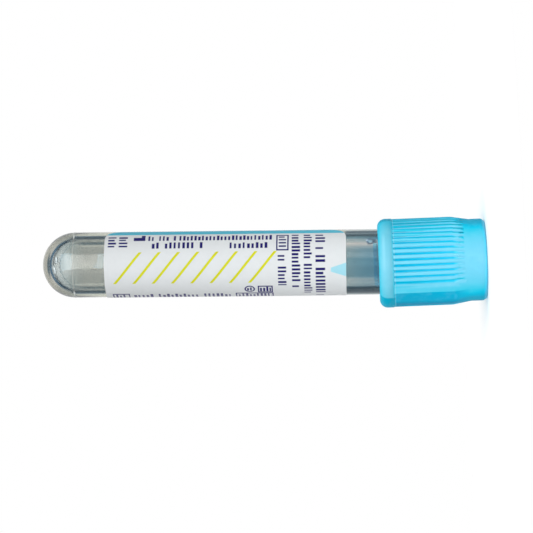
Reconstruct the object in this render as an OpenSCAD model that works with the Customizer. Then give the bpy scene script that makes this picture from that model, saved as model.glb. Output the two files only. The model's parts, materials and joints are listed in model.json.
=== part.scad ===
// Evacuated blood collection tube, standing on its closure.
// A clear outer tube holds a liner tube with a little liquid additive. A label
// wraps the barrel. A rubber stopper closes the mouth, and a ribbed shield
// covers the stopper and turns on it.
// Each piece is built along Z, with its height measured from the round bottom's
// tip, and standing() then turns it over onto the shield's flat top. The tube
// and its stopper lean a little in the shield.

/* [Outer tube] */
// Outer diameter of the barrel
tube_d = 13; // [10:0.1:16]
// Distance of the rim from the tip of the round bottom
tube_len = 75; // [70:0.5:100]
// Wall thickness of the barrel
tube_wall = 0.8; // [0.6:0.05:1.2]
// Thickness of the round bottom at its centre
tube_floor = 1.2; // [1:0.1:2]
// How far the mouth is drawn in at the rim, as a lead for the shield
mouth_taper = 0.05; // [0.02:0.01:0.2]
// How far the mould's parting line stands proud
parting_h = 0.04; // [0.02:0.01:0.1]
// Width of the parting line
parting_w = 0.5; // [0.3:0.1:1]

/* [Liner] */
// Gap between the liner and the outer tube's bore
liner_gap = 0.1; // [0.05:0.01:0.2]
// Wall thickness of the liner
liner_wall = 0.58; // [0.4:0.02:0.8]
// Thickness of the liner's round bottom at its centre
liner_floor = 1; // [0.8:0.1:1.5]
// Free height between the liner's bottom and the outer tube's
liner_lift = 0.45; // [0.4:0.05:0.8]
// Depth of the liner's mouth inside the outer tube's rim
liner_drop = 0.8; // [0.5:0.1:1.5]
// Height of the band that grips the outer tube
liner_band = 3; // [2:0.1:4]
// How tightly the band is pressed into the outer tube
band_bite = 0.02; // [0.01:0.01:0.04]
// Diameter of the moulding gate left on the liner's bottom
gate_d = 1.4; // [1:0.1:2]
// Height of the moulding gate
gate_h = 0.3; // [0.1:0.05:0.35]

/* [Additive] */
// Depth of the liquid over the plug's end
additive_depth = 0.8; // [0.5:0.1:4]
// Gap between the liquid and the rubber that it stands on
liquid_gap = 0.02; // [0.01:0.01:0.04]
// How far liquid and label reach into the plastic that they wet or stick to
wetting = 0.02; // [0.01:0.01:0.03]
// Diameter of the drop that clings to the wall near the mouth
drop_d = 1.6; // [1:0.1:2.2]
// How far the drop stands out from the liner's wall
drop_h = 0.4; // [0.3:0.1:0.7]
// Distance of the drop from the outer tube's rim
drop_depth = 9.7; // [9.4:0.1:13]
// Direction of the drop, from the front
drop_angle = -47; // [-80:1:80]
// Diameter of the larger droplet in the round bottom
droplet_d = 1.7; // [0.8:0.1:2]
// How far that droplet stands out from the wall
droplet_h = 0.45; // [0.2:0.05:0.6]

/* [Label] */
// Length of the label along the tube
label_len = 47.6; // [30:0.1:50]
// Distance of the label's first short edge from the round bottom's tip
label_from = 12.9; // [9:0.1:16]
// Thickness of the label
label_t = 0.1; // [0.06:0.01:0.2]
// Angle that the label covers
label_arc = 304; // [200:1:330]
// Direction of the label's first long edge, from the front
label_edge = -77; // [-120:1:-40]
// Radius of the label's corners
label_corner = 3.2; // [1:0.1:4]

/* [Stopper] */
// How far the flange reaches past the outer tube
flange_over = 0.5; // [0.4:0.05:1]
// Thickness of the flange
flange_t = 4.2; // [3:0.1:6]
// Rounding of the flange's edges
flange_round = 0.4; // [0.2:0.1:0.8]
// Length of the plug inside the outer tube's rim
plug_len = 7; // [5:0.1:9]
// Depth by which the plug is thinner than its sealing rings
seal_h = 0.25; // [0.1:0.05:0.4]
// Clearance of the sealing rings in the liner
seal_gap = 0.04; // [0.02:0.01:0.08]
// Diameter of the hollow in the plug
hollow_d = 5; // [3:0.1:6]
// Depth of the hollow in the plug
hollow_depth = 4.5; // [3:0.1:5]
// Diameter of the dish that the needle enters
dish_d = 6.4; // [4:0.1:8]
// Depth of the dish
dish_depth = 0.8; // [0.3:0.1:1.2]

/* [Shield] */
// Play of the stopper's flange inside the shield
shield_play = 0.2; // [0.15:0.05:0.4]
// Wall thickness of the shield at the bottom of its grooves
shield_wall = 1.1; // [1:0.02:2]
// How far the shield reaches past the outer tube's rim along the barrel
skirt_len = 8.1; // [7:0.1:10]
// How far the tube and its stopper lean to one side in the shield
tube_lean = 1.7; // [0:0.1:2]
// Height of the smooth collar at the shield's mouth
collar_h = 3.05; // [2:0.05:4.5]
// How far the collar stands out past the ribs
collar_step = 0.1; // [0.05:0.05:0.6]
// Rounding of the collar's outer edge
collar_round = 1.6; // [0.5:0.1:1.7]
// Bevel between the collar and the ribs
collar_bevel = 0.3; // [0.1:0.05:0.5]
// Length of the straight stretch of ribs
rib_len = 11.4; // [8:0.1:16]
// Depth of the grooves between the ribs
rib_h = 0.42; // [0.2:0.02:0.6]
// Width of a groove at the ribs' tops
groove_w = 0.56; // [0.4:0.02:0.8]
// Width of a groove at its bottom
groove_floor = 0.2; // [0.1:0.02:0.36]
// Number of grooves in each of the two ribbed fields
groove_count = 17; // [9:1:17]
// Angle between neighbouring grooves
groove_pitch = 7.68; // [7:0.02:8]
// Width of the long bevel that ends each ribbed field
end_bevel = 0.95; // [0.6:0.05:1.2]
// Depth of the smooth flats between the ribbed fields
flat_depth = 0.21; // [0.05:0.01:0.4]
// Direction of the first smooth flat, from the front
flat_angle = 55.5; // [0:0.5:90]
// Length of the taper between the ribs and the top band
taper_len = 3.6; // [2:0.1:6]
// How far the top band lies inside the grooves' bottoms
band_inset = 0.18; // [0.05:0.01:0.5]
// Height of the plain band at the top
band_h = 3.15; // [2:0.05:5]
// Rounding of the shield's top edge
top_round = 1; // [0.5:0.1:1.1]
// Thickness of the shield's top
deck_t = 1.2; // [1.1:0.1:2]
// Diameter of the needle well
well_d = 8.6; // [7:0.1:9.4]
// Wall thickness of the needle well
well_wall = 1.1; // [0.8:0.1:1.3]
// Radius of the bead that keeps the stopper in the shield
bead_r = 0.48; // [0.4:0.02:0.5]

/* [Hidden] */
$fa = 3;
$fs = 0.2;
eps = 0.01;

tube_r = tube_d / 2;
bore_r = tube_r - tube_wall;
bore_ball = tube_floor + bore_r;

liner_r = bore_r - liner_gap;
liner_bore_r = liner_r - liner_wall;
liner_base = tube_floor + liner_lift;
liner_ball = liner_base + liner_r;
liner_bore_ball = liner_base + liner_floor + liner_bore_r;
liner_top = tube_len - liner_drop;
liner_lead = liner_wall / 2;

flange_r = tube_r + flange_over;
flange_gap = 0.02;
flange_base = tube_len + flange_gap;
flange_top = flange_base + flange_t;
seal_r = liner_bore_r - seal_gap;
plug_r = seal_r - seal_h;
plug_tip = tube_len - plug_len;
seal_bead = 0.6;

shield_base = tube_len - skirt_len;
mouth_from = shield_base - 1;
shield_bore_r = flange_r + shield_play;
groove_r = shield_bore_r + shield_wall;
rib_r = groove_r + rib_h;
collar_r = rib_r + collar_step;
band_r = groove_r - band_inset;
rib_base = shield_base + collar_h;
taper_base = rib_base + rib_len;
band_base = taper_base + taper_len;
shield_top = band_base + band_h;
well_r = well_d / 2;
well_bevel = 0.3;
collar_fillet = min(collar_round, collar_r - shield_bore_r - 0.05);
dish_ball_r = (dish_depth * dish_depth + dish_d * dish_d / 4) / (2 * dish_depth);
flat_r = rib_r - flat_depth;
// the flange rocks in the shield, whose seats stay clear of it by this much
rock_gap = 0.05 + flange_r * sin(tube_lean);
bead_z = flange_base - rock_gap - bead_r;
seat_z = flange_top + rock_gap;
rock_z = flange_top;

label_r = tube_r + label_t;

parting_r = tube_r + parting_h;

// The level of the liquid above the ground.
additive_level = shield_top - plug_tip + additive_depth;
drop_z = tube_len - drop_depth;

// Turns a piece over, so that the shield's top is on the ground and the front faces -Y.
module standing() {
    translate([0, 0, shield_top])
        rotate([180, 0, 90])
            children();
}

// Leans the tube and what goes with it, about the middle of the flange's top.
module leaning() {
    standing()
        translate([0, 0, rock_z])
            rotate([tube_lean, 0, 0])
                translate([0, 0, -rock_z])
                    children();
}

// Turns what points along +X to an angle from the front.
module facing(angle) {
    rotate([0, 0, 180 + angle])
        children();
}

// Half outline of a tube's outside or inside, whose lower end is a ball.
module capsule_outline(r, ball, top) {
    intersection() {
        union() {
            translate([0, ball])
                circle(r);
            translate([0, ball])
                square([r, top - ball]);
        }
        square([r, top]);
    }
}

// Rounds the outer corner of a half outline: a square of side edge less a quarter round.
module corner_waste(edge) {
    difference() {
        square(edge + eps);
        circle(edge);
    }
}

// Half outline of a disc from z0 to z1 whose upper and lower edges are rounded.
module disc_outline(r, z0, z1, edge) {
    difference() {
        translate([0, z0])
            square([r, z1 - z0]);
        translate([r - edge, z1 - edge])
            corner_waste(edge);
        translate([r - edge, z0 + edge])
            mirror([0, 1])
                corner_waste(edge);
    }
}

module outer_outline() {
    // the mouth draws in a little towards its fully rounded rim
    mouth_r = tube_r - mouth_taper;
    rim = (mouth_r - bore_r) / 2;
    capsule_outline(tube_r, tube_r, mouth_from);
    polygon([
        [0, mouth_from],
        [tube_r, mouth_from],
        [mouth_r, tube_len - rim],
        [0, tube_len - rim],
    ]);
    translate([mouth_r - rim, tube_len - rim])
        circle(rim);
    // parting line
    polygon([
        [tube_r - eps, tube_r - parting_w / 2],
        [parting_r, tube_r],
        [tube_r - eps, tube_r + parting_w / 2],
    ]);
}

module outer_tube() {
    color([0.86, 0.89, 0.9, 0.35])
        leaning()
            rotate_extrude()
                difference() {
                    outer_outline();
                    capsule_outline(bore_r, bore_ball, tube_len + 1);
                }
}

module liner_tube() {
    color([0.75, 0.8, 0.82, 0.45])
        leaning()
            rotate_extrude()
                difference() {
                    union() {
                        capsule_outline(liner_r, liner_ball, liner_top);
                        translate([0, liner_top - liner_band])
                            square([bore_r + band_bite, liner_band]);
                        translate([0, liner_base - gate_h])
                            square([gate_d / 2, liner_floor]);
                    }
                    capsule_outline(liner_bore_r, liner_bore_ball, liner_top + 1);
                    // lead-in for the plug
                    polygon([
                        [0, liner_top - liner_lead],
                        [liner_bore_r, liner_top - liner_lead],
                        [liner_bore_r + liner_lead, liner_top],
                        [0, liner_top],
                    ]);
                }
}

// Half outline of the liquid that stands on the plug's end and fills its hollow. Its
// level is cut afterwards.
module pool_outline() {
    pool_base = plug_tip - liquid_gap;
    translate([0, pool_base - tube_r])
        square([liner_bore_r + wetting, tube_r]);
    hollow_r = hollow_d / 2 - liquid_gap;
    translate([0, plug_tip + hollow_depth - liquid_gap])
        mirror([0, 1])
            capsule_outline(hollow_r, hollow_r, hollow_depth + eps);
}

module additive() {
    color([0.82, 0.88, 0.9, 0.5]) {
        intersection() {
            leaning()
                rotate_extrude()
                    pool_outline();
            translate([-tube_d, -tube_d, 0])
                cube([2 * tube_d, 2 * tube_d, additive_level]);
        }
        intersection() {
            // the liner's bore, a little oversize, so that the drops wet the wall
            leaning()
                rotate_extrude()
                    capsule_outline(liner_bore_r + wetting, liner_bore_ball, plug_tip);
            leaning() {
                clinging(drop_d, drop_h, drop_z, 90, drop_angle);
                clinging(drop_d * 0.6, drop_h * 0.6, drop_z + drop_d * 0.65, 90, drop_angle);
                clinging(droplet_d, droplet_h, liner_bore_ball, 25, 23);
                clinging(droplet_d * 0.8, droplet_h * 0.8, liner_bore_ball, 33, -17);
            }
        }
    }
}

// A drop is the part of a ball that stands in from the wall, where a line from the
// axis at that height meets it. The line's slope is measured from the tip.
module clinging(d, h, height, slope, angle) {
    ball_r = (h * h + d * d / 4) / (2 * h);
    translate([0, 0, height])
        facing(angle)
            rotate([0, 180 - slope, 0])
                translate([0, 0, liner_bore_r - h + ball_r])
                    sphere(ball_r);
}

// What a rounded corner takes off the label. side is 1 at the first long edge and
// -1 at the last, and end is 1 at the first short edge and -1 at the last.
module label_corner_waste(side, end) {
    half_angle = label_corner / label_r * 90 / PI;
    chord = 2 * label_r * sin(half_angle);
    reach = chord + 1;
    long_edge = side > 0 ? label_edge : label_edge + label_arc;
    short_edge = end > 0 ? label_from : label_from + label_len;
    facing(long_edge + side * half_angle)
        translate([0, side * chord / 2, short_edge + end * chord])
            rotate([90, 0, 90])
                linear_extrude(tube_d)
                    difference() {
                        translate([side > 0 ? -reach : 0, end > 0 ? -reach : 0])
                            square(reach);
                        circle(chord);
                    }
}

module label() {
    color([0.94, 0.96, 0.97])
        leaning()
            difference() {
                facing(label_edge)
                    rotate_extrude(angle = label_arc)
                        translate([tube_r - wetting, label_from])
                            square([label_t + wetting, label_len]);
                for (side = [-1, 1], end = [-1, 1])
                    label_corner_waste(side, end);
            }
}

module stopper_outline() {
    difference() {
        union() {
            disc_outline(flange_r, flange_base, flange_top, flange_round);
            disc_outline(plug_r, plug_tip, flange_base + flange_round, seal_bead);
            translate([0, flange_base - seal_bead])
                square([plug_r, 2 * seal_bead]);
            for (ring = [1, 3])
                translate([seal_r - seal_bead, plug_tip + ring * plug_len / 4])
                    circle(seal_bead);
        }
        // hollow in the plug's end
        translate([0, plug_tip + hollow_depth])
            mirror([0, 1])
                capsule_outline(hollow_d / 2, hollow_d / 2, hollow_depth + 1);
        // dish in the top
        translate([0, flange_top - dish_depth + dish_ball_r])
            circle(dish_ball_r);
        // nothing crosses the axis
        translate([-tube_d, plug_tip - 1])
            square([tube_d, plug_len + flange_t + 3]);
    }
}

module stopper() {
    color([0.5, 0.64, 0.7])
        leaning()
            rotate_extrude()
                stopper_outline();
}

module collar_outline() {
    difference() {
        polygon([
            [0, shield_base],
            [collar_r, shield_base],
            [collar_r, rib_base - collar_bevel],
            [collar_r - collar_bevel, rib_base],
            [0, rib_base],
        ]);
        translate([collar_r - collar_fillet, shield_base + collar_fillet])
            mirror([0, 1])
                corner_waste(collar_fillet);
    }
}

module ribbed_outline() {
    difference() {
        polygon([
            [0, rib_base - collar_bevel],
            [rib_r, rib_base - collar_bevel],
            [rib_r, taper_base],
            [band_r, band_base],
            [band_r, shield_top],
            [0, shield_top],
        ]);
        translate([band_r - top_round, shield_top - top_round])
            corner_waste(top_round);
    }
}

// Everything that is empty inside the shield.
module shield_hollow_outline() {
    difference() {
        translate([0, shield_base - 1])
            square([shield_bore_r, seat_z - shield_base + 1]);
        translate([shield_bore_r, bead_z])
            circle(bead_r);
    }
    // cored-out ring around the needle well
    translate([well_r + well_wall, seat_z - eps])
        square([band_r - shield_wall - well_r - well_wall, shield_top - deck_t - seat_z]);
    // needle well, with a bevelled mouth
    translate([0, seat_z - eps])
        square([well_r, shield_top - seat_z + 1]);
    polygon([
        [0, shield_top - well_bevel],
        [well_r, shield_top - well_bevel],
        [well_r + well_bevel + 1, shield_top + 1],
        [0, shield_top + 1],
    ]);
}

// One groove between two ribs, open outwards.
module groove() {
    slant = (groove_w - groove_floor) / 2 / rib_h;
    deep = rib_h + 1;
    translate([0, 0, rib_base - 1])
        linear_extrude(shield_top - rib_base + 2)
            polygon([
                [groove_r, -groove_floor / 2],
                [groove_r + deep, -groove_floor / 2 - slant * deep],
                [groove_r + deep, groove_floor / 2 + slant * deep],
                [groove_r, groove_floor / 2],
            ]);
}

// The long bevel outside the last groove of a ribbed field.
module field_end(side) {
    deep = rib_h + 1;
    translate([0, 0, rib_base - 1])
        linear_extrude(shield_top - rib_base + 2)
            polygon([
                [groove_r, 0],
                [groove_r + deep, 0],
                [groove_r + deep, side * end_bevel * deep / rib_h],
            ]);
}

module rib_cuts() {
    half_field = (groove_count - 1) / 2 * groove_pitch;
    for (field = [0, 180]) {
        for (i = [0 : groove_count - 1])
            facing(flat_angle + field - 90 - half_field + i * groove_pitch)
                groove();
        for (side = [-1, 1])
            facing(flat_angle + field - 90 + side * half_field)
                field_end(side);
        facing(flat_angle + field)
            translate([flat_r, -collar_r, rib_base - 1])
                cube([collar_r, 2 * collar_r, shield_top]);
    }
}

module shield() {
    color([0.36, 0.82, 0.93])
        standing()
            difference() {
                union() {
                    rotate_extrude()
                        collar_outline();
                    difference() {
                        rotate_extrude()
                            ribbed_outline();
                        rib_cuts();
                    }
                }
                rotate_extrude()
                    shield_hollow_outline();
            }
}

outer_tube();
liner_tube();
additive();
label();
stopper();
shield();
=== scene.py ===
"""Evacuated blood collection tube, standing on its closure."""
import json
import math

import bpy
from mathutils import Matrix, Vector

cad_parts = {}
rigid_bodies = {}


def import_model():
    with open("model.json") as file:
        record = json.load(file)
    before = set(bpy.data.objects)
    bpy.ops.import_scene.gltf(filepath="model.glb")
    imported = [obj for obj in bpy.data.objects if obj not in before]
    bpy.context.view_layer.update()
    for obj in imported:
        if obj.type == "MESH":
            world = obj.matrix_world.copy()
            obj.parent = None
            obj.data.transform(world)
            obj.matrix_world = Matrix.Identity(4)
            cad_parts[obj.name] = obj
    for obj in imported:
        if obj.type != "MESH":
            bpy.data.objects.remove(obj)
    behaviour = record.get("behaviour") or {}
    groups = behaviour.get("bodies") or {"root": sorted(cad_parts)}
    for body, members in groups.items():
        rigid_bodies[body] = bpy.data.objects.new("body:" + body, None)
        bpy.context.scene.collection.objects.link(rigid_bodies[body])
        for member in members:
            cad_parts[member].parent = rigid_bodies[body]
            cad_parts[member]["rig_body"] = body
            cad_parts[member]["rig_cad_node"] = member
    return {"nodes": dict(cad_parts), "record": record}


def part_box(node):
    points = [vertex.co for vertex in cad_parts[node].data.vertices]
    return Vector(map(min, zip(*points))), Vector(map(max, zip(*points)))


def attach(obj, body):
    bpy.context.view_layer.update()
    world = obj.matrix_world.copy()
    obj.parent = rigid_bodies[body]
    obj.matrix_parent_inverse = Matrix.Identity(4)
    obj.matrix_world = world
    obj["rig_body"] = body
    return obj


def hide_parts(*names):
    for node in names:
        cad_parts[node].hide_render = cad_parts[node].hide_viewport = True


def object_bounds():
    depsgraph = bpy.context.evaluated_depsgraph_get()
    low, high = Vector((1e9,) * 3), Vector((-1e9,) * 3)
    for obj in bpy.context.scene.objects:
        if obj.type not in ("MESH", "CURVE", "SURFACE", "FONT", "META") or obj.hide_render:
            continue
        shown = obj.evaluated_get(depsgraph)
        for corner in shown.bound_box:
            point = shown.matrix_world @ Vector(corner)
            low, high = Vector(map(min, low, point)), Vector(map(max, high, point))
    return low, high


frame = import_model()
bpy.ops.object.select_all(action="DESELECT")
bpy.context.scene.cursor.location = (0, 0, 0)

MM = 0.001
NODES = frame["nodes"]
cad_low, cad_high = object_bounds()

# ---------------------------------------------------------------- places from the frame
mounts = {m["name"]: m for m in frame["record"]["mounts"]}
tube_r = mounts["tube_barrel"]["dims"]["r_mm"]
tube_axis = Vector(mounts["tube_barrel"]["axis"])
barrel_at = Vector(mounts["tube_barrel"]["pos_m"])
lean = math.atan2(tube_axis.x, tube_axis.z)
ball_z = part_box("outer_tube")[1].z - tube_r * MM
tip = barrel_at + tube_axis * ((ball_z - barrel_at.z) / tube_axis.z + tube_r * MM)

# Pieces are made upright, in a frame whose z is the distance from the round bottom's
# tip and whose -x is the front, and are then turned over onto the closure.
TUBE = Matrix((
    (0, math.cos(lean), -math.sin(lean), tip.x),
    (1, 0, 0, tip.y),
    (0, -math.sin(lean), -math.cos(lean), tip.z),
    (0, 0, 0, 1),
))
shield_mouth = 66.9
shield_end = shield_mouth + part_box("shield")[1].z / MM     # the flat end, on the ground
SHIELD = Matrix((
    (0, 1, 0, 0),
    (1, 0, 0, 0),
    (0, 0, -1, shield_end * MM),
    (0, 0, 0, 1),
))

# ---------------------------------------------------------------- sizes in mm, heights from the tip
tube_len = 75.0
wall = 0.8
floor = 1.2
bore_r = tube_r - wall
liner_r = 5.6
liner_bore_r = 5.02
liner_base = floor + 0.45
liner_floor = 1.0
liner_top = tube_len - 0.8
label_from, label_len = 12.9, 47.6
label_end = label_from + label_len
label_t = 0.1
label_edge, label_arc = -77.0, 304.0      # the first edge's turn from the front, and the wrap
label_middle = label_edge + label_arc / 2
label_corner = 3.2
ROUND_STEPS = 160                         # steps of a turned wall
BALL_STEPS = 56                           # steps of a round bottom's quarter circle


# ---------------------------------------------------------------- modelling helpers
def pick(obj):
    bpy.ops.object.select_all(action="DESELECT")
    obj.select_set(True)
    bpy.context.view_layer.objects.active = obj


def arc(cx, cy, r, a0, a1, n):
    """Points of an arc about (cx, cy), from angle a0 to a1 in degrees."""
    out = []
    for i in range(n + 1):
        a = math.radians(a0 + (a1 - a0) * i / n)
        out.append((cx + r * math.cos(a), cy + r * math.sin(a)))
    return out


def draw(name, points):
    """One vertex, extruded from point to point of an outline in the XZ plane."""
    first = points[0]
    bpy.ops.mesh.primitive_plane_add(size=MM, location=(first[0] * MM, 0, first[1] * MM))
    obj = bpy.context.object
    obj.name = name
    bpy.ops.object.transform_apply(location=True, rotation=True, scale=True)
    bpy.ops.object.mode_set(mode="EDIT")
    bpy.ops.mesh.select_all(action="SELECT")
    bpy.ops.mesh.merge(type="CENTER")
    last = first
    for p in points[1:]:
        step = ((p[0] - last[0]) * MM, 0, (p[1] - last[1]) * MM)
        bpy.ops.mesh.extrude_region_move(TRANSFORM_OT_translate={"value": step})
        last = p
    return obj


def turned(name, points):
    """A solid turned about the z axis from a closed half outline."""
    obj = draw(name, points)
    bpy.ops.mesh.select_all(action="SELECT")
    bpy.ops.mesh.remove_doubles(threshold=1e-8)
    bpy.ops.mesh.spin(steps=ROUND_STEPS, angle=-math.radians(360), center=(0, 0, 0), axis=(0, 0, 1))
    bpy.ops.mesh.select_all(action="SELECT")
    bpy.ops.mesh.remove_doubles(threshold=1e-6)
    bpy.ops.mesh.normals_make_consistent(inside=False)
    bpy.ops.object.mode_set(mode="OBJECT")
    return obj


def put(obj, where):
    """Turns a finished piece over into its place."""
    obj.matrix_world = where
    pick(obj)
    bpy.ops.object.transform_apply(location=True, rotation=True, scale=True)


def smooth(obj):
    pick(obj)
    bpy.ops.object.shade_smooth_by_angle(angle=math.radians(30))


# ---------------------------------------------------------------- outer tube
mouth_from = 65.9                         # from here the wall is a little thinner
mouth_r = tube_r - 0.05
rim_r = (mouth_r - bore_r) / 2
parting = 0.04                            # height of the line where the ball meets the barrel

outside = arc(0, tube_r, tube_r, -90, -2.4, BALL_STEPS)
outside += [
    (tube_r + parting * 0.7, tube_r - 0.1),
    (tube_r + parting, tube_r),
    (tube_r + parting * 0.7, tube_r + 0.1),
    (tube_r, tube_r + 0.26),
]
outside += [(tube_r, s) for s in (12, 30, 50, mouth_from)]
outside += arc(mouth_r - rim_r, tube_len - rim_r, rim_r, 0, 180, 16)
inside = [(bore_r, s) for s in (66, 50, 30)]
inside += arc(0, floor + bore_r, bore_r, 0, -90, BALL_STEPS)
outer = turned("outer_wall", outside + inside + [outside[0]])

# ---------------------------------------------------------------- liner
gate_r, gate_drop, gate_round = 0.7, 0.3, 0.12       # the moulding mark under its bottom
held_r = bore_r - 0.005                              # the mouth band fills the outer bore
held_len, held_rise = 3.0, 0.25
lead_in = 0.29

outline = [(0.0, liner_base - gate_drop)]
outline += arc(gate_r - gate_round, liner_base - gate_drop + gate_round, gate_round, -90, 0, 4)
outline += [p for p in arc(0, liner_base + liner_r, liner_r, -90, 0, BALL_STEPS) if p[0] > gate_r]
outline += [
    (liner_r, 30), (liner_r, 50), (liner_r, liner_top - held_len - held_rise),
    (held_r, liner_top - held_len), (held_r, liner_top - 0.1), (bore_r - 0.1, liner_top),
    (liner_bore_r + lead_in, liner_top), (liner_bore_r, liner_top - lead_in),
    (liner_bore_r, 50), (liner_bore_r, 30),
]
outline += arc(0, liner_base + liner_floor + liner_bore_r, liner_bore_r, 0, -90, BALL_STEPS)
outline += [outline[0]]
liner = turned("liner_wall", outline)

# ---------------------------------------------------------------- label
film_in, film_out = tube_r - 0.02, tube_r + label_t
film_t = film_out - film_in
film_mid = (film_in + film_out) / 2
film_width = film_mid * math.radians(label_arc)
film_strips = 120

bpy.ops.mesh.primitive_plane_add(
    size=1, location=(0, 0, (label_from + label_len / 2) * MM), rotation=(math.radians(90), 0, 0))
film = bpy.context.object
film.name = "label_film"
film.scale = (film_width * MM, label_len * MM, 1)
bpy.ops.object.transform_apply(location=True, rotation=True, scale=True)
bpy.ops.object.mode_set(mode="EDIT")
bpy.ops.mesh.select_all(action="SELECT")
bpy.ops.mesh.bevel(offset=label_corner * MM, offset_pct=0, segments=10, affect="VERTICES")
for i in range(1, film_strips):
    bpy.ops.mesh.select_all(action="SELECT")
    bpy.ops.mesh.bisect(plane_co=((i / film_strips - 0.5) * film_width * MM, 0, 0), plane_no=(1, 0, 0))
bpy.ops.mesh.select_all(action="SELECT")
bpy.ops.mesh.extrude_region_move(TRANSFORM_OT_translate={"value": (0, film_t * MM, 0)})
bpy.ops.mesh.select_all(action="SELECT")
bpy.ops.transform.translate(value=(0, -film_t / 2 * MM, 0))
bpy.ops.mesh.normals_make_consistent(inside=False)
bpy.ops.object.mode_set(mode="OBJECT")
wrap = film.modifiers.new("wrap", "SIMPLE_DEFORM")
wrap.deform_method = "BEND"
wrap.deform_axis = "Z"
wrap.angle = math.radians(label_arc)
bpy.ops.object.modifier_apply(modifier="wrap")
bpy.ops.object.mode_set(mode="EDIT")
bpy.ops.mesh.select_all(action="SELECT")
bpy.ops.transform.translate(value=(0, -film_mid * MM, 0))
bpy.ops.transform.rotate(
    value=-math.radians(270 + label_middle), orient_axis="Z", center_override=(0, 0, 0))
bpy.ops.mesh.normals_make_consistent(inside=False)
bpy.ops.object.mode_set(mode="OBJECT")

for piece in (outer, liner, film):
    put(piece, TUBE)
    smooth(piece)


# ---------------------------------------------------------------- pieces kept from the CAD
def kept(name, node):
    """A copy of a CAD node whose loose triangles are merged."""
    obj = NODES[node].copy()
    obj.data = NODES[node].data.copy()
    obj.name = name
    obj.parent = None
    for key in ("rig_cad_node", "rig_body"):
        if key in obj:
            del obj[key]
    bpy.context.scene.collection.objects.link(obj)
    pick(obj)
    bpy.ops.object.mode_set(mode="EDIT")
    bpy.ops.mesh.select_all(action="SELECT")
    bpy.ops.mesh.remove_doubles(threshold=1e-7)
    bpy.ops.mesh.normals_make_consistent(inside=False)
    bpy.ops.object.mode_set(mode="OBJECT")
    smooth(obj)
    return obj


shield = kept("shield_ribbed", "shield")
stopper = kept("stopper_rubber", "stopper")
drops = kept("additive_liquid", "additive")


# ---------------------------------------------------------------- colours
def rgb(r, g, b):
    return (r, g, b, 1)


def srgb(r, g, b):
    def lin(c):
        c /= 255
        return c / 12.92 if c <= 0.04045 else ((c + 0.055) / 1.055) ** 2.4
    return rgb(lin(r), lin(g), lin(b))


def grey(v):
    return rgb(v, v, v)


BLACK, WHITE = grey(0), grey(1)
NAVY = srgb(22, 16, 98)
STRIPE = srgb(72, 184, 210)
LIME = srgb(206, 209, 30)
ARROW = srgb(160, 216, 231)
FILM = srgb(220, 224, 226)
RUBBER_DARK, RUBBER_PALE = srgb(104, 134, 144), srgb(124, 152, 161)


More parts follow.
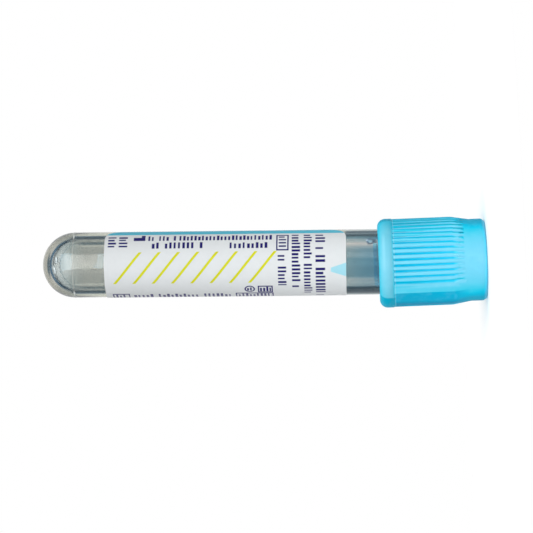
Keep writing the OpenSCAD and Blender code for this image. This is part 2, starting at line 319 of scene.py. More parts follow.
# ---------------------------------------------------------------- words for node trees
class Graph:
    """Short words for adding nodes to a tree. A value is a number, a tuple or a socket."""

    def __init__(self, tree):
        self.tree = tree

    def put(self, value, socket):
        if isinstance(value, bpy.types.NodeSocket):
            self.tree.links.new(value, socket)
        else:
            socket.default_value = value

    def node(self, kind, **values):
        node = self.tree.nodes.new(kind)
        for key, value in values.items():
            setattr(node, key, value)
        return node

    def math(self, operation, *values):
        node = self.node("ShaderNodeMath", operation=operation)
        for value, socket in zip(values, node.inputs):
            self.put(value, socket)
        return node.outputs[0]

    def add(self, a, b):
        return self.math("ADD", a, b)

    def sub(self, a, b):
        return self.math("SUBTRACT", a, b)

    def div(self, a, b):
        return self.math("DIVIDE", a, b)

    def scaled(self, a, factor, plus):
        return self.math("MULTIPLY_ADD", a, factor, plus)

    def size(self, a):
        return self.math("ABSOLUTE", a)

    def both(self, *masks):
        out = masks[0]
        for mask in masks[1:]:
            out = self.math("MULTIPLY", out, mask)
        return out

    def either(self, *masks):
        out = masks[0]
        for mask in masks[1:]:
            out = self.math("MAXIMUM", out, mask)
        return out

    def length(self, x, y):
        return self.math("SQRT", self.add(self.both(x, x), self.both(y, y)))

    def vector(self, operation, a, b, output):
        node = self.node("ShaderNodeVectorMath", operation=operation)
        self.put(a, node.inputs[0])
        self.put(b, node.inputs[1])
        return node.outputs[output]

    def rise(self, x, low, high, a=0.0, b=1.0, way="SMOOTHSTEP"):
        """a below low, b above high, smooth in between."""
        node = self.node("ShaderNodeMapRange", interpolation_type=way)
        keys = ("Value", "From Min", "From Max", "To Min", "To Max")
        for value, key in zip((x, low, high, a, b), keys):
            self.put(value, node.inputs[key])
        return node.outputs["Result"]

    def fall(self, x, low, high, rest=0.0):
        """1 below low, rest above high."""
        return self.rise(x, low, high, 1.0, rest)

    def band(self, x, low, high, soft=0.05):
        """1 between low and high."""
        return self.both(self.rise(x, low - soft, low + soft), self.fall(x, high - soft, high + soft))

    def mix(self, factor, a, b, blend="MIX"):
        node = self.node("ShaderNodeMix", data_type="RGBA", blend_type=blend)
        self.put(factor, node.inputs["Factor"])
        self.put(a, node.inputs[6])
        self.put(b, node.inputs[7])
        return node.outputs[2]

    def tinted(self, color, by):
        return self.mix(1.0, color, by, "MULTIPLY")

    def noise(self, where, scale, detail, dimensions="3D"):
        node = self.node("ShaderNodeTexNoise", noise_dimensions=dimensions)
        self.put(where, node.inputs["W" if dimensions == "1D" else "Vector"])
        node.inputs["Scale"].default_value = scale
        node.inputs["Detail"].default_value = detail
        return node.outputs["Fac"]

    def ramp(self, factor, stops):
        """stops are rows of position, red, green and blue."""
        node = self.node("ShaderNodeValToRGB")
        elements = node.color_ramp.elements
        elements.remove(elements[-1])
        for i, (position, *color) in enumerate(stops):
            element = elements.new(position) if i else elements[0]
            element.position = position
            element.color = rgb(*color)
        self.put(factor, node.inputs["Fac"])
        return node.outputs["Color"]

    def facing(self):
        """0 where the surface faces the view, 1 where it turns away."""
        return self.node("ShaderNodeLayerWeight").outputs["Facing"]

    def behind(self):
        """1 for a ray that meets the surface from inside the piece."""
        return self.node("ShaderNodeNewGeometry").outputs["Backfacing"]

    def use(self, group, **values):
        node = self.node("ShaderNodeGroup", node_tree=group)
        for key, value in values.items():
            self.put(value, node.inputs[key])
        return node.outputs


SOCKET_KINDS = {"Object": "NodeSocketVector", "Color": "NodeSocketColor", "Marks": "NodeSocketColor"}


def new_group(name, inputs, outputs):
    """An empty node group, whose sockets' names are given in two strings."""
    tree = bpy.data.node_groups.new(name, "ShaderNodeTree")
    for names, way in ((inputs, "INPUT"), (outputs, "OUTPUT")):
        for key in names.split():
            tree.interface.new_socket(key, in_out=way, socket_type=SOCKET_KINDS.get(key, "NodeSocketFloat"))
    source = tree.nodes.new("NodeGroupInput")
    sink = tree.nodes.new("NodeGroupOutput")
    return tree, Graph(tree), source.outputs, sink.inputs


def place_group(name, matrix, middle_turn):
    """Length along a turned piece and radius, in mm, and the turn from its front, in degrees."""
    tree, g, given, give = new_group(name, "Object", "Along Turn Radius")
    to_x, to_y, to_z, origin = (matrix.col[i].xyz for i in range(4))
    c, s = math.cos(math.radians(middle_turn)), math.sin(math.radians(middle_turn))
    ahead = -(to_x * c + to_y * s) / MM
    aside = (to_x * s - to_y * c) / MM
    p = g.vector("SUBTRACT", given["Object"], tuple(origin), 0)
    u = g.vector("DOT_PRODUCT", p, tuple(ahead), "Value")
    v = g.vector("DOT_PRODUCT", p, tuple(aside), "Value")
    g.put(g.vector("DOT_PRODUCT", p, tuple(to_z / MM), "Value"), give["Along"])
    g.put(g.scaled(g.math("ARCTAN2", v, u), 180 / math.pi, middle_turn), give["Turn"])
    g.put(g.length(u, v), give["Radius"])
    return tree


tube_place = place_group("tube_place", TUBE, label_middle)
shield_place = place_group("shield_place", SHIELD, 0)

# ---------------------------------------------------------------- the label's print
# one row of small blocks, where words would be
row_group, g, given, give = new_group("print_row", "Along Across Start End Low High Pitch Seed", "Mask")
cell_at = g.div(g.sub(given["Along"], given["Start"]), given["Pitch"])
cell = g.math("FLOOR", cell_at)
part = g.sub(cell_at, cell)
dice = g.node("ShaderNodeTexWhiteNoise", noise_dimensions="1D")
g.put(g.scaled(given["Seed"], 17.31, cell), dice.inputs["W"])
rolled = g.node("ShaderNodeSeparateColor")
g.put(dice.outputs["Color"], rolled.inputs[0])
block_width = g.scaled(rolled.outputs[0], 0.25, 0.54)
block = g.both(g.rise(part, 0.02, 0.2), g.fall(g.sub(part, block_width), -0.08, 0.08))
filled = g.rise(rolled.outputs[1], 0.09, 0.1)
height = g.div(g.sub(given["Across"], given["Low"]), g.sub(given["High"], given["Low"]))
block_top = g.rise(rolled.outputs[2], 0.4, 0.45, 0.8, 1.0)
tall = g.both(g.rise(height, -0.06, 0.06), g.fall(g.sub(height, block_top), -0.06, 0.06))
reach = g.both(
    g.rise(g.sub(given["Along"], given["Start"]), -0.02, 0.02),
    g.fall(g.sub(given["Along"], given["End"]), -0.05, 0.05),
)
g.put(g.both(block, filled, tall, reach), give["Mask"])

ROWS_ALONG = [
    # start and end in mm, low and high turn in degrees, pitch in mm, seed
    (21.45, 27.0, -44.0, -56.5, 0.72, 1),
    (27.6, 46.0, -44.0, -56.5, 0.74, 2),
    (21.35, 32.4, -27.5, -40.0, 0.86, 3),
    (37.55, 45.6, -26.6, -38.4, 0.86, 4),
    (14.75, 17.2, 83.0, 65.5, 0.7, 5),
    (18.3, 37.55, 84.0, 63.5, 0.82, 18),
    (39.1, 45.7, 83.0, 65.5, 0.72, 6),
    (43.4, 45.7, 58.0, 45.2, 0.62, 7),
    (40.85, 42.1, 55.0, 46.5, 0.6, 8),
]
ROWS_ROUND = [
    # start and end turn in degrees, low and high along in mm, pitch in degrees, seed
    (-55.5, -28.5, 13.6, 15.2, 6.9, 11),
    (-55.5, -28.5, 15.75, 17.45, 6.9, 12),
    (-52.5, -25.5, 47.3, 48.75, 6.8, 13),
    (-14.0, 42.0, 47.1, 48.75, 6.6, 14),
    (-57.0, 53.0, 49.85, 51.5, 6.6, 15),
    (-57.0, 68.5, 52.2, 53.8, 6.5, 16),
    (-56.5, 80.0, 54.5, 56.4, 7.2, 17),
]
FRAMES = [
    # start and end in mm, start and end turn in degrees, line width in mm and in degrees
    (46.8, 49.25, -56.2, -21.5, 0.27, 2.6),
    (43.05, 46.0, 42.6, 61.0, 0.26, 2.5),
    (14.2, 17.6, 62.0, 85.0, 0.26, 3.0),
    (38.6, 46.1, 62.0, 85.0, 0.26, 3.0),
]
SOLIDS = [
    # the small mark with a step: start and end in mm, start and end turn in degrees
    (18.65, 20.95, -52.5, -44.2),
    (20.2, 20.95, -58.5, -52.0),
]
RULED_TURNS = (112, 132, 152, 172)        # on the hidden side

label_group, g, given, give = new_group("label_print", "Object", "Color Ink Back")
at = g.use(tube_place, Object=given["Object"])
along, turn = at["Along"], at["Turn"]


def row(x, y, start, end, low, high, pitch, seed):
    """One row of blocks along x. low and high are its edges along y."""
    return g.use(
        row_group, Along=x, Across=y, Start=start, End=end, Low=low, High=high,
        Pitch=pitch, Seed=seed)["Mask"]


def solid(start, end, from_turn, to_turn):
    """A filled box."""
    return g.both(g.band(along, start, end), g.band(turn, from_turn, to_turn, 0.5))


ink = [row(along, turn, *r) for r in ROWS_ALONG] + [row(turn, along, *r) for r in ROWS_ROUND]
ink += [solid(*s) for s in SOLIDS]
for start, end, from_turn, to_turn, line, line_turn in FRAMES:
    hole = solid(start + line, end - line, from_turn + line_turn, to_turn - line_turn)
    ink.append(g.sub(solid(start, end, from_turn, to_turn), hole))
for middle in RULED_TURNS:
    ink.append(g.both(g.band(turn, middle - 0.7, middle + 0.7, 0.3), g.band(along, 22, 57)))
    ink.append(row(along, turn, 15.0, 20.6, middle + 0.6, middle - 9.5, 0.78, 20 + middle))
ring_at, ring_turn, ring_r, ring_r_turn = 41.45, 50.7, 1.02, 8.2
ring = g.length(g.div(g.sub(along, ring_at), ring_r), g.div(g.sub(turn, ring_turn), ring_r_turn))
ink.append(g.band(ring, 0.74, 1.02))
ink = g.either(*ink)

hatch_from, hatch_turn, hatch_step, hatch_slant = 14.93, 34.5, 3.803, 0.0925
hatch_at = g.div(
    g.scaled(turn, hatch_slant, g.sub(along, hatch_from + hatch_slant * hatch_turn)), hatch_step)
off_line = g.both(g.size(g.sub(hatch_at, g.math("ROUND", hatch_at))), hatch_step)
hatch = g.both(
    g.fall(off_line, 0.26, 0.36),
    g.band(turn, -20.8, 35.6, 0.6),
    g.band(hatch_at, -0.5, 7.5, 0.02),
)
arrow_from, arrow_turn = 57.45, 12.8
arrow_half = g.scaled(g.sub(along, arrow_from), 2.85, 3.4)
arrow = g.both(
    g.fall(g.sub(g.size(g.sub(turn, arrow_turn)), arrow_half), -0.4, 0.4),
    g.rise(along, 57.4, 57.6),
)
stripe = g.fall(turn, -61.6, -60.9)
color = FILM
for mask, paint in ((hatch, LIME), (arrow, ARROW), (stripe, STRIPE), (ink, NAVY)):
    color = g.mix(mask, color, paint)
cloud = g.noise(given["Object"], 900.0, 3.0)
g.put(g.tinted(color, g.mix(cloud, grey(0.95), WHITE)), give["Color"])
g.put(ink, give["Ink"])
g.put(g.fall(at["Radius"], film_in + 0.03, film_in + 0.06), give["Back"])


# ---------------------------------------------------------------- material helpers
def material(name):
    mat = bpy.data.materials.new(name)
    mat.use_nodes = True
    mat.node_tree.nodes.clear()
    g = Graph(mat.node_tree)
    out = g.node("ShaderNodeOutputMaterial")
    bsdf = g.node("ShaderNodeBsdfPrincipled")
    g.put(bsdf.outputs["BSDF"], out.inputs["Surface"])
    where = g.node("ShaderNodeTexCoord").outputs["Object"]
    return mat, g, bsdf.inputs, where


def bump(g, height, strength, shader):
    node = g.node("ShaderNodeBump")
    node.inputs["Strength"].default_value = strength
    node.inputs["Distance"].default_value = 0.2 * MM
    g.put(height, node.inputs["Height"])
    g.put(node.outputs["Normal"], shader["Normal"])


# ---------------------------------------------------------------- clear plastic
# Painted reflection: toward the closure the plastic is coloured with the shield's blue, with a painted
# light streak above and painted dark streaks below. The wall's painted shade and the parting line lie on
# the outer face only.
tint_and_shade_group, g, given, give = new_group(
    "wall_tint", "Object", "Color Marks Side Dome Mouth Upper Crest Tip")
at = g.use(tube_place, Object=given["Object"])
along, turn = at["Along"], at["Turn"]
side = g.math("SINE", g.both(turn, math.pi / 180))
dome = g.fall(along, 5.0, 7.4)
mouth = g.rise(along, label_end - 0.7, label_end + 0.3)
# painted light: two light streaks near the mouth, one on each side of the middle
painted_light_streak = g.both(mouth, g.either(g.band(side, -0.84, -0.53), g.band(side, 0.62, 0.77, 0.04)))
# painted light: two bands where the wall's dark rows are lightened
painted_crest_light = g.both(mouth, g.either(g.band(side, -0.71, -0.56, 0.02), g.band(turn, -111.0, -88.0, 1.5)))
# painted reflection of the shield's blue, stronger toward the closure
near_closure = g.rise(along, 56.0, 67.0)
color = g.mix(near_closure, WHITE, rgb(0.77, 0.92, 1.0))
color = g.mix(painted_light_streak, color, rgb(1.0, 0.99, 0.985))
color = g.mix(g.both(g.noise(given["Object"], 260.0, 2.0), 0.12), color, rgb(0.8, 0.82, 0.82))

# painted shade near the mouth: dark blue bands on both sides of the middle, a dark rim and a blue-grey
# middle; random blue streaks there too
below = g.band(turn, 47.0, 53.5, 2.0)
above = g.band(turn, -53.5, -44.6, 0.6)
rim_dark = g.either(g.rise(turn, 55.0, 58.0), g.band(turn, -71.0, -62.0, 1.5))
rim_dark = g.both(rim_dark, g.fall(g.size(turn), 84.0, 90.0))
centre = g.both(g.rise(turn, -11.0, -5.0), g.fall(turn, 24.0, 34.0))
streaks = g.rise(g.noise(g.both(turn, 0.13), 1.0, 2.0, "1D"), 0.45, 0.7)
# painted shade: a dark ring for the drop's outline, as it shows through the wall
seen_drop_at, seen_drop_turn = 65.3, -40.0
ring_s = g.sub(along, seen_drop_at)
ring_a = g.both(g.sub(turn, seen_drop_turn), math.radians(tube_r) * 0.8)
drop_ring = g.both(
    g.band(g.length(ring_s, ring_a), 0.42, 0.66, 0.1),
    g.fall(g.add(ring_s, ring_a), -0.1, 0.35, 0.25),
)
parting_line = g.band(along, 6.5, 6.68, 0.04)
# painted shade: the dome's sides are darker
dome_sides = g.both(g.rise(g.size(side), 0.2, 0.5), g.band(along, 3.1, 7.0, 0.4))
# the parting line is a real mark; the rest is painted shade
marks_and_shade = WHITE
for mask, paint in (
    (g.both(mouth, below, 0.85), rgb(0.0, 0.19, 0.28)),
    (g.both(mouth, above, 0.9), rgb(0.09, 0.31, 0.42)),
    (g.both(mouth, rim_dark, 0.95), rgb(0.0, 0.05, 0.08)),
    (g.both(mouth, drop_ring, 0.9), rgb(0.04, 0.22, 0.38)),
    (g.both(mouth, centre, 0.9), rgb(0.47, 0.7, 0.78)),
    (g.both(mouth, streaks, 0.35), rgb(0.55, 0.7, 0.78)),
    (g.both(parting_line, 0.7), rgb(0.4, 0.45, 0.47)),
    (g.both(dome_sides, 0.8), rgb(0.62, 0.66, 0.66)),
):
    marks_and_shade = g.mix(mask, marks_and_shade, paint)
g.put(color, give["Color"])
g.put(marks_and_shade, give["Marks"])
g.put(g.rise(side, -0.3, 0.3, -1.0, 1.0), give["Side"])
g.put(dome, give["Dome"])
g.put(mouth, give["Mouth"])
g.put(painted_light_streak, give["Upper"])
g.put(painted_crest_light, give["Crest"])
g.put(g.band(along, 0.55, 2.0, 0.25), give["Tip"])


def clear_material(
        name, ior, roughness, stops, in_dome, in_mouth=None, from_inside=None, shift=0.0, marked=False):
    """stops colour the face by how far it turns away, as painted shade and painted highlights for the bands
    that refraction shows, and from_inside does so for light that leaves the plastic. shift moves the stops
    apart on the two sides. marked adds the parting line and the painted shade on the wall and at the tip."""
    mat, g, shader, where = material(name)
    tint_and_shade = g.use(tint_and_shade_group, Object=where)
    away = g.facing()
    body = g.ramp(g.scaled(tint_and_shade["Side"], -shift, away), stops)
    body = g.mix(tint_and_shade["Dome"], body, g.ramp(away, in_dome))
    if in_mouth:
        body = g.mix(tint_and_shade["Mouth"], body, g.ramp(away, in_mouth))
    # painted light along the streaks near the mouth
    body = g.mix(tint_and_shade["Upper"], body, rgb(0.91, 0.905, 0.9))
    body = g.mix(tint_and_shade["Crest"], body, rgb(0.945, 0.945, 0.94))
    if from_inside:
        body = g.mix(g.behind(), body, g.ramp(away, from_inside))
    color = g.tinted(body, tint_and_shade["Color"])
    if marked:
        # painted shade: the thick round bottom is darkened to dark blue at its tip
        painted_tip_shade = g.both(tint_and_shade["Tip"], g.fall(away, 0.48, 0.56), g.sub(1.0, g.behind()))
        color = g.tinted(color, g.mix(painted_tip_shade, tint_and_shade["Marks"], rgb(0.03, 0.07, 0.11)))
        shader["Specular Tint"].default_value = rgb(0.35, 0.66, 0.86)
    g.put(color, shader["Base Color"])
    shader["Roughness"].default_value = roughness
    shader["IOR"].default_value = ior
    shader["Transmission Weight"].default_value = 1
    return mat


# the stops below are painted shade and painted highlights: dark and light bands by how far the face turns
# away
clear = clear_material(
    "clear_plastic", 1.57, 0.01,
    [
        (0.0, 0.685, 0.70, 0.67), (0.165, 0.65, 0.67, 0.63), (0.19, 0.96, 0.98, 0.92),
        (0.215, 0.96, 0.98, 0.92), (0.24, 0.62, 0.63, 0.59), (0.375, 0.60, 0.62, 0.59),
        (0.42, 0.03, 0.06, 0.08), (0.52, 0.02, 0.04, 0.06), (0.575, 0.37, 0.38, 0.28),
        (1.0, 0.27, 0.27, 0.19),
    ],
    in_dome=[
        (0.0, 0.95, 0.97, 0.97), (0.08, 0.93, 0.95, 0.95), (0.16, 0.78, 0.80, 0.79),
        (0.29, 0.72, 0.75, 0.74), (0.325, 0.015, 0.04, 0.08), (0.39, 0.015, 0.04, 0.08),
        (0.435, 0.34, 0.32, 0.26), (0.5, 0.26, 0.24, 0.185), (0.6, 0.185, 0.17, 0.12),
        (1.0, 0.16, 0.155, 0.1),
    ],
    in_mouth=[
        (0.0, 0.72, 0.77, 0.80), (0.28, 0.71, 0.76, 0.79), (0.34, 0.3, 0.42, 0.48),
        (0.4, 0.22, 0.34, 0.42), (0.44, 0.42, 0.5, 0.54), (0.47, 0.42, 0.5, 0.54),
        (0.5, 0.01, 0.04, 0.06), (0.65, 0.01, 0.04, 0.06), (0.73, 0.34, 0.36, 0.32),
        (1.0, 0.4, 0.4, 0.36),
    ],
    from_inside=[(0.0, 0.685, 0.70, 0.67), (0.3, 0.60, 0.63, 0.58), (1.0, 0.5, 0.5, 0.45)],
    marked=True,
)
clear_bore = clear_material(
    "clear_plastic_bore", 1.57, 0.01,
    [
        (0.0, 0.765, 0.77, 0.75), (0.48, 0.72, 0.74, 0.73), (0.60, 0.04, 0.07, 0.09),
        (1.0, 0.0, 0.005, 0.01),
    ],
    in_dome=[
        (0.0, 0.9, 0.92, 0.92), (0.7, 0.85, 0.88, 0.88), (0.85, 0.2, 0.3, 0.4),
        (1.0, 0.0, 0.05, 0.1),
    ],
)
inner = clear_material(
    "liner_plastic", 1.5, 0.03,
    [
        (0.0, 0.765, 0.77, 0.75), (0.52, 0.72, 0.74, 0.73), (0.62, 0.03, 0.06, 0.08),
        (1.0, 0.0, 0.005, 0.01),
    ],
    in_dome=[
        (0.0, 0.9, 0.93, 0.93), (0.72, 0.88, 0.92, 0.93), (0.85, 0.2, 0.35, 0.5),
        (1.0, 0.0, 0.05, 0.1),
    ],
)
inner_bore = clear_material(
    "liner_plastic_bore", 1.5, 0.03,
    [
        (0.0, 0.765, 0.77, 0.75), (0.28, 0.765, 0.77, 0.75), (0.34, 1.0, 1.0, 0.95),
        (0.415, 1.0, 1.0, 0.95), (0.465, 0.03, 0.07, 0.10), (0.63, 0.03, 0.07, 0.10),
        (0.72, 0.8, 0.8, 0.7), (1.0, 0.6, 0.6, 0.52),
    ],
    in_dome=[
        (0.0, 0.95, 0.97, 0.97), (0.54, 0.9, 0.95, 0.95), (0.60, 0.4, 0.5, 0.58),
        (0.66, 0.4, 0.5, 0.58), (0.72, 0.9, 0.93, 0.93), (1.0, 0.7, 0.75, 0.75),
    ],
    in_mouth=[
        (0.0, 0.8, 0.83, 0.83), (0.6, 0.8, 0.83, 0.83), (0.75, 0.5, 0.6, 0.62),
        (1.0, 0.3, 0.4, 0.45),
    ],
    from_inside=[(0.0, 0.765, 0.77, 0.75), (1.0, 0.765, 0.77, 0.75)],
    shift=0.055,
)

# ---------------------------------------------------------------- liquid
# painted shade and highlight: the drop near the mouth gets a painted dark blue edge and one glowing light
# spot
drop_at, drop_turn, drop_r = 65.3, -47.0, 0.8
drop_group, g, given, give = new_group("drop_edge", "Object", "Ring Mouth Light")
at = g.use(tube_place, Object=given["Object"])
ds = g.sub(at["Along"], drop_at)
da = g.both(g.sub(at["Turn"], drop_turn), math.radians(liner_bore_r))
from_middle = g.length(ds, da)
ring = g.both(
    g.rise(from_middle, drop_r * 0.45, drop_r * 0.7),
    g.fall(from_middle, drop_r * 1.3, drop_r * 1.5),
)
g.put(ring, give["Ring"])
g.put(g.rise(at["Along"], 20.0, 21.0), give["Mouth"])
g.put(g.fall(g.length(g.add(ds, 0.62), g.add(da, 0.3)), 0.2, 0.36), give["Light"])

liquid, g, shader, where = material("liquid")
edge = g.use(drop_group, Object=where)
away = g.facing()
# painted shade: the liquid darkens where it turns away
body = g.ramp(away, [
    (0.0, 1.0, 1.0, 1.0), (0.5, 0.97, 0.99, 1.0), (0.75, 0.6, 0.78, 0.88), (1.0, 0.2, 0.4, 0.55),
])
g.put(g.mix(g.both(edge["Ring"], 0.85), body, rgb(0.01, 0.16, 0.36)), shader["Base Color"])
# painted glints: small spots on the drops glow
glint = g.both(
    g.band(away, 0.12, 0.5, 0.08),
    g.rise(g.noise(where, 900.0, 1.0), 0.42, 0.52),
    g.scaled(edge["Mouth"], -0.75, 1.0),
)
glint = g.either(glint, edge["Light"])
g.put(g.mix(glint, BLACK, rgb(0.9, 0.95, 1.0)), shader["Emission Color"])
shader["Emission Strength"].default_value = 0.5
shader["Roughness"].default_value = 0.0
shader["IOR"].default_value = 1.33
shader["Transmission Weight"].default_value = 1

# ---------------------------------------------------------------- label film
paper, g, shader, where = material("label_film")
printed = g.use(label_group, Object=where)
g.put(printed["Color"], shader["Base Color"])
g.put(g.rise(printed["Ink"], 0.0, 1.0, 0.42, 0.3), shader["Roughness"])
shader["Specular IOR Level"].default_value = 0.15
bump(g, g.noise(where, 1500.0, 3.0), 0.05, shader)
# painted light: the film's back glows, standing in for daylight through the film
g.put(g.mix(printed["Back"], BLACK, rgb(0.86, 0.89, 0.9)), shader["Emission Color"])
shader["Emission Strength"].default_value = 0.4

# ---------------------------------------------------------------- rubber
rubber, g, shader, where = material("stopper_rubber")
speck = g.noise(where, 1200.0, 4.0)
g.put(g.mix(speck, RUBBER_DARK, RUBBER_PALE), shader["Base Color"])
g.put(g.rise(speck, 0.3, 0.7, 0.62, 0.75), shader["Roughness"])
bump(g, speck, 0.2, shader)

# ---------------------------------------------------------------- shield
# painted shade: deeper colour on the flats, which lie below the ribs' outline and face away from the light;
# the grooves get a saturated blue, lightened against their own shade
rib_r, band_r = 8.72, 8.12
taper_from, taper_to = 14.45, 18.05       # these and the other heights are from the shield's mouth
MOULDED_TWICE = (0.0, 180.0)              # the two flats and fields of grooves
shield_group, g, given, give = new_group(
    "shield_finish", "Object", "Groove Collar Flat Shade Low Worn Inside End Roughness Height")
at = g.use(shield_place, Object=given["Object"])
along, turn, radius = at["Along"], at["Turn"], at["Radius"]


def up(height):
    return shield_mouth + height


depth = g.sub(g.rise(along, up(taper_from), up(taper_to), rib_r, band_r, "LINEAR"), radius)
grooves = g.both(
    g.rise(depth, 0.16, 0.34),
    g.band(along, up(3.2), up(17.0), 0.15),
    g.fall(along, up(14.6), up(16.6), 0.2),
)
# painted shade: the flats face away from the light and are painted darker, darker still toward their far
# edge
flats = [g.band(turn, 44.0 - half, 78.0 - half, 0.6) for half in MOULDED_TWICE]
shades = [g.both(flat, g.rise(turn, 60.0 - half, 72.0 - half)) for flat, half in zip(flats, MOULDED_TWICE)]
# painted shade: the collar's lower side is darker
collars = [g.band(turn, 51.0 - half, 110.0 - half, 1.5) for half in MOULDED_TWICE]
flat = g.both(
    g.either(*flats),
    g.rise(along, up(3.1), up(3.3)),
    g.fall(along, up(14.0), up(18.5)),
)
mottle = g.noise(given["Object"], 420.0, 3.0)
# painted highlight: a light line along the collar's step
seam_highlight = g.band(along, up(2.98), up(3.1), 0.04)
scuff = g.both(
    g.band(along, up(14.7), up(15.6), 0.2),
    g.band(turn, -8.0, -4.0, 1.0),
    g.rise(g.noise(given["Object"], 5200.0, 2.0), 0.5, 0.62),
)
# painted highlight: a pale streak on the collar
gloss = g.both(g.band(along, up(0.8), up(1.3), 0.2), g.band(turn, -38.0, 10.0, 8.0))
# painted light: the grooves' ends and the rounded end glow
groove_ends = g.both(
    g.band(along, up(14.7), up(17.2), 0.4),
    g.rise(depth, 0.05, 0.2),
    g.rise(radius, 7.3, 7.6),
)
round_end = g.both(g.rise(along, up(20.3), up(21.1)), g.rise(radius, 6.8, 7.3))
# painted highlights on the collar, with real scuffs and mottling
wear_and_gloss = g.either(
    g.both(gloss, 0.3), g.both(seam_highlight, 0.5), g.both(scuff, 0.8), g.both(g.rise(mottle, 0.45, 0.8), 0.12))
for mask, key in (
    (grooves, "Groove"),
    (g.fall(along, up(2.4), up(3.1)), "Collar"),
    (flat, "Flat"),
    (g.both(flat, g.either(*shades)), "Shade"),
    (g.both(g.fall(along, up(2.9), up(3.0)), g.either(*collars)), "Low"),
    (wear_and_gloss, "Worn"),
    # painted light: the skirt's inner face glows
    (g.both(g.fall(radius, 7.25, 7.4), g.fall(along, up(6.0), up(9.0))), "Inside"),
    (g.either(g.both(groove_ends, 0.5), round_end), "End"),
    (g.rise(mottle, 0.2, 0.8, 0.38, 0.5), "Roughness"),
    (g.noise(given["Object"], 2600.0, 3.0), "Height"),
):
    g.put(mask, give[key])

blue, g, shader, where = material("shield_plastic")
finish_and_light = g.use(shield_group, Object=where)
away = g.facing()
# a pale sheen where the surface faces the viewer
color = g.ramp(away, [
    (0.0, 0.185, 0.65, 0.86), (0.04, 0.18, 0.65, 0.86), (0.09, 0.163, 0.65, 0.86),
    (0.17, 0.13, 0.65, 0.86), (0.25, 0.08, 0.65, 0.86), (0.32, 0.04, 0.64, 0.86),
    (0.39, 0.006, 0.63, 0.87), (0.47, 0.0, 0.54, 0.79), (0.58, 0.01, 0.44, 0.66),
    (0.7, 0.0, 0.42, 0.62), (1.0, 0.0, 0.37, 0.56),
])
# painted sheen on the collar, pale where it faces the viewer
collar_sheen = g.ramp(away, [
    (0.0, 0.19, 0.60, 0.77), (0.2, 0.165, 0.60, 0.77), (0.45, 0.11, 0.59, 0.78),
    (0.65, 0.04, 0.57, 0.78), (0.8, 0.0, 0.55, 0.78), (1.0, 0.0, 0.42, 0.62),
])
for mask, paint in (
    (finish_and_light["Collar"], collar_sheen),
    # painted light: the grooves are lightened against their shade, without the painted sheen
    (g.both(finish_and_light["Groove"], 0.9), rgb(0.0, 0.68, 0.98)),
    # painted shade on the flats and their far edge
    (finish_and_light["Flat"], rgb(0.0, 0.46, 0.72)),
    (finish_and_light["Shade"], rgb(0.0, 0.30, 0.52)),
    # painted shade on the collar's lower side
    (finish_and_light["Low"], rgb(0.0, 0.41, 0.61)),
    # painted highlights together with real scuffs and mottling
    (g.both(finish_and_light["Worn"], 0.6), rgb(0.5, 0.85, 0.98)),
):
    color = g.mix(mask, color, paint)
g.put(color, shader["Base Color"])
# painted light: the thin skirt's inner face, the rounded end and the grooves' ends glow, standing in for
# daylight through the skirt
glow = g.mix(finish_and_light["End"], BLACK, rgb(0.1, 0.18, 0.21))
g.put(g.mix(finish_and_light["Inside"], glow, rgb(0.3, 0.65, 0.85)), shader["Emission Color"])
shader["Emission Strength"].default_value = 1.0
g.put(finish_and_light["Roughness"], shader["Roughness"])
shader["Specular IOR Level"].default_value = 0.03
bump(g, finish_and_light["Height"], 0.08, shader)


# ---------------------------------------------------------------- materials onto pieces
def wear(piece, *mats):
    piece.data.materials.clear()
    for mat in mats:
        piece.data.materials.append(mat)


def looks_in(at, normal):
    """True for a face of the bore, by its place and normal in the upright frame."""
    if at.z > 9 * MM and math.hypot(at.x, at.y) > 0.5 * MM:
        return normal.x * at.x + normal.y * at.y < 0
    return normal.z > 0


upright = TUBE.inverted()
upright_turn = upright.to_3x3()
for piece, mats in ((outer, (clear, clear_bore)), (liner, (inner, inner_bore))):
    wear(piece, *mats)
    for face in piece.data.polygons:
        face.material_index = int(looks_in(upright @ face.center, upright_turn @ face.normal))
for piece, mat in ((drops, liquid), (film, paper), (stopper, rubber), (shield, blue)):
    wear(piece, mat)

for piece, body, node, slot in (
    (outer, "tube", "outer_tube", "clear_plastic"),
    (liner, "tube", "liner_tube", "liner_plastic"),
    (drops, "tube", "additive", "liquid"),
    (film, "tube", "label", "label_film"),
    (stopper, "stopper", "stopper", "stopper_rubber"),
    (shield, "shield", "shield", "shield_plastic"),
):
    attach(piece, body)
    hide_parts(node)


# ---------------------------------------------------------------- floor and studio
def seen(g):
    """1 for the rays that look at the floor or the world, straight, mirrored or through glass."""
    path = g.node("ShaderNodeLightPath").outputs
    return g.either(path["Is Camera Ray"], path["Is Glossy Ray"], path["Is Transmission Ray"])


bpy.ops.mesh.primitive_circle_add(vertices=96, radius=0.1, fill_type="NGON", location=(0, 0, 0))
ground = bpy.context.object
ground.name = "floor"
pale, g, shader, where = material("pale_floor")
g.put(g.mix(seen(g), grey(0.9), grey(0.98)), shader["Base Color"])
shader["Roughness"].default_value = 1
shader["Specular IOR Level"].default_value = 0
wear(ground, pale)

world = bpy.data.worlds.new("studio")
bpy.context.scene.world = world
world.use_nodes = True
world.node_tree.nodes.clear()
g = Graph(world.node_tree)
blend = g.node("ShaderNodeMixShader")
g.put(seen(g), blend.inputs[0])
for socket, strength in ((1, 0.19), (2, 1.0)):       # soft light, and a white look
    sky = g.node("ShaderNodeBackground")
    sky.inputs["Color"].default_value = WHITE
    sky.inputs["Strength"].default_value = strength
    g.put(sky.outputs[0], blend.inputs[socket])
g.put(blend.outputs[0], g.node("ShaderNodeOutputWorld").inputs["Surface"])

middle = (cad_low + cad_high) / 2


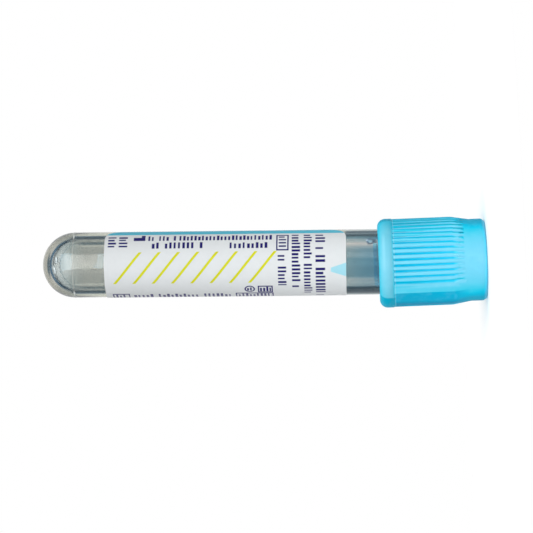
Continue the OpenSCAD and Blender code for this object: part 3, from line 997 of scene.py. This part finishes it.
def lamp(name, data, at, hidden):
    """hidden keeps a lamp out of reflections and glass."""
    obj = bpy.data.objects.new(name, data)
    bpy.context.scene.collection.objects.link(obj)
    obj.location = at
    obj.visible_glossy = obj.visible_transmission = not hidden
    return obj


def panel(name, radiance, width, height, turn, rise, distance, hidden=True):
    """A soft panel that faces the object. turn is measured from the front towards +X."""
    a, e = math.radians(turn), math.radians(rise)
    out = Vector((math.sin(a) * math.cos(e), -math.cos(a) * math.cos(e), math.sin(e)))
    data = bpy.data.lights.new(name, "AREA")
    data.shape = "RECTANGLE"
    data.size, data.size_y = width, height
    data.energy = radiance * math.pi * width * height
    obj = lamp(name, data, middle + out * distance, hidden)
    obj.rotation_euler = out.to_track_quat("Z", "Y").to_euler()


panel("key", 2.4, 0.62, 0.48, turn=14, rise=30, distance=0.6, hidden=False)
panel("fill", 1.0, 1.0, 1.0, turn=-20, rise=0, distance=1.0)
panel("back", 1.0, 0.9, 0.9, turn=180, rise=0, distance=1.0)

overhead = bpy.data.lights.new("overhead", "SUN")
overhead.energy = 2.1
overhead.angle = math.radians(70)
lamp("overhead", overhead, (0, 0, 0.5), hidden=True)

# ---------------------------------------------------------------- camera
aim = Vector((0.32 * MM, 0, 43.467 * MM))
camera_distance = 0.44
pitch = math.radians(2.3)
roll = math.radians(-2.328)
back = Vector((0, -math.cos(pitch), -math.sin(pitch)))
level_up = Vector((1, 0, 0))
level_right = level_up.cross(back)
right = level_right * math.cos(roll) + level_up * math.sin(roll)
camera_up = -level_right * math.sin(roll) + level_up * math.cos(roll)
place = aim + back * camera_distance
camera = bpy.data.objects.new("camera", bpy.data.cameras.new("camera"))
bpy.context.scene.collection.objects.link(camera)
camera.matrix_world = Matrix((
    (right.x, camera_up.x, back.x, place.x),
    (right.y, camera_up.y, back.y, place.y),
    (right.z, camera_up.z, back.z, place.z),
    (0, 0, 0, 1),
))
camera.data.sensor_width = 36
camera.data.lens = 149.36
camera.data.clip_start = 0.01
bpy.context.scene.camera = camera
bpy.context.scene.view_settings.view_transform = "Standard"
